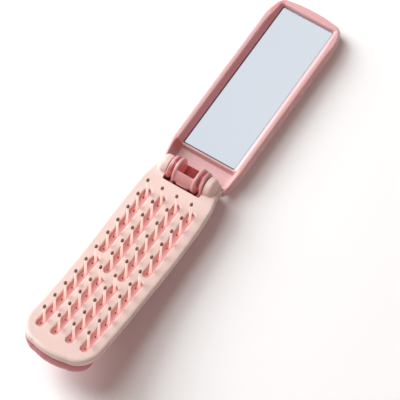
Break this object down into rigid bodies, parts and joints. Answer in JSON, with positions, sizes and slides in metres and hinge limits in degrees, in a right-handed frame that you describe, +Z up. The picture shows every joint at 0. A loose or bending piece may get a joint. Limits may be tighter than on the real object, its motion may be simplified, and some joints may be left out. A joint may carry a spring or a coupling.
{
  "type": "pocket mirror comb",
  "caption": "Folding pocket comb with a long mirror: a curved face plate with slotted rows of ball-tipped pop-up pins, hinged to a slim tray that holds the glass.",
  "frame": {"origin": "middle of the bounding box's bottom, on the table that the open comb lies on", "axes": "+X across the comb along the fold hinge, +Y along the comb from the brush half to the mirror half, +Z up"},
  "size_m": [0.0352, 0.203, 0.0326],
  "materials": {
    "pink_plastic": "satin pink moulding",
    "cream_plastic": "satin cream pink moulding",
    "pale_pink_nylon": "soft nylon",
    "silvered_glass": "polished mirror glass",
    "steel": "plain drawn pin",
    "spring_steel": "coiled wire",
    "white_tape": "foam tape"
  },
  "bodies": {
    "brush_half": {"brush_back_shell": "pink_plastic", "brush_face_plate": "cream_plastic", "hinge_pin_left": "steel", "hinge_pin_right": "steel", "lift_spring_1": "spring_steel", "lift_spring_2": "spring_steel"},
    "pin_bed": {"pin_carrier": "pink_plastic", "comb_pin_1_01": "pale_pink_nylon", "comb_pin_1_02": "pale_pink_nylon", "comb_pin_1_03": "pale_pink_nylon", "comb_pin_1_04": "pale_pink_nylon", "comb_pin_1_05": "pale_pink_nylon", "comb_pin_1_06": "pale_pink_nylon", "comb_pin_1_07": "pale_pink_nylon", "comb_pin_1_08": "pale_pink_nylon", "comb_pin_1_09": "pale_pink_nylon", "comb_pin_1_10": "pale_pink_nylon", "comb_pin_1_11": "pale_pink_nylon", "comb_pin_2_01": "pale_pink_nylon", "comb_pin_2_02": "pale_pink_nylon", "comb_pin_2_03": "pale_pink_nylon", "comb_pin_2_04": "pale_pink_nylon", "comb_pin_2_05": "pale_pink_nylon", "comb_pin_2_06": "pale_pink_nylon", "comb_pin_2_07": "pale_pink_nylon", "comb_pin_2_08": "pale_pink_nylon", "comb_pin_2_09": "pale_pink_nylon", "comb_pin_2_10": "pale_pink_nylon", "comb_pin_2_11": "pale_pink_nylon", "comb_pin_3_01": "pale_pink_nylon", "comb_pin_3_02": "pale_pink_nylon", "comb_pin_3_03": "pale_pink_nylon", "comb_pin_3_04": "pale_pink_nylon", "comb_pin_3_05": "pale_pink_nylon", "comb_pin_3_06": "pale_pink_nylon", "comb_pin_3_07": "pale_pink_nylon", "comb_pin_3_08": "pale_pink_nylon", "comb_pin_3_09": "pale_pink_nylon", "comb_pin_3_10": "pale_pink_nylon", "comb_pin_3_11": "pale_pink_nylon", "comb_pin_4_01": "pale_pink_nylon", "comb_pin_4_02": "pale_pink_nylon", "comb_pin_4_03": "pale_pink_nylon", "comb_pin_4_04": "pale_pink_nylon", "comb_pin_4_05": "pale_pink_nylon", "comb_pin_4_06": "pale_pink_nylon", "comb_pin_4_07": "pale_pink_nylon", "comb_pin_4_08": "pale_pink_nylon", "comb_pin_4_09": "pale_pink_nylon", "comb_pin_4_10": "pale_pink_nylon", "comb_pin_4_11": "pale_pink_nylon"},
    "mirror_half": {"mirror_tray": "pink_plastic", "mirror_glass": "silvered_glass", "mirror_tape": "white_tape"}
  },
  "joints": [
    {"name": "fold", "type": "hinge", "parent": "brush_half", "child": "mirror_half", "pos_m": [0, 0.00219, 0.0122], "axis": [1, 0, 0], "range_deg": [0, 173.7]},
    {"name": "pin_lift", "type": "slide", "parent": "brush_half", "child": "pin_bed", "axis": [0, -0.1443, -0.9895], "range_m": [0, 0.0035], "deforming": ["lift_spring_1", "lift_spring_2"]}
  ],
  "couplings": [
    {"joint": "pin_lift", "follows": "fold", "m_per_rad": 0.0011545}
  ]
}
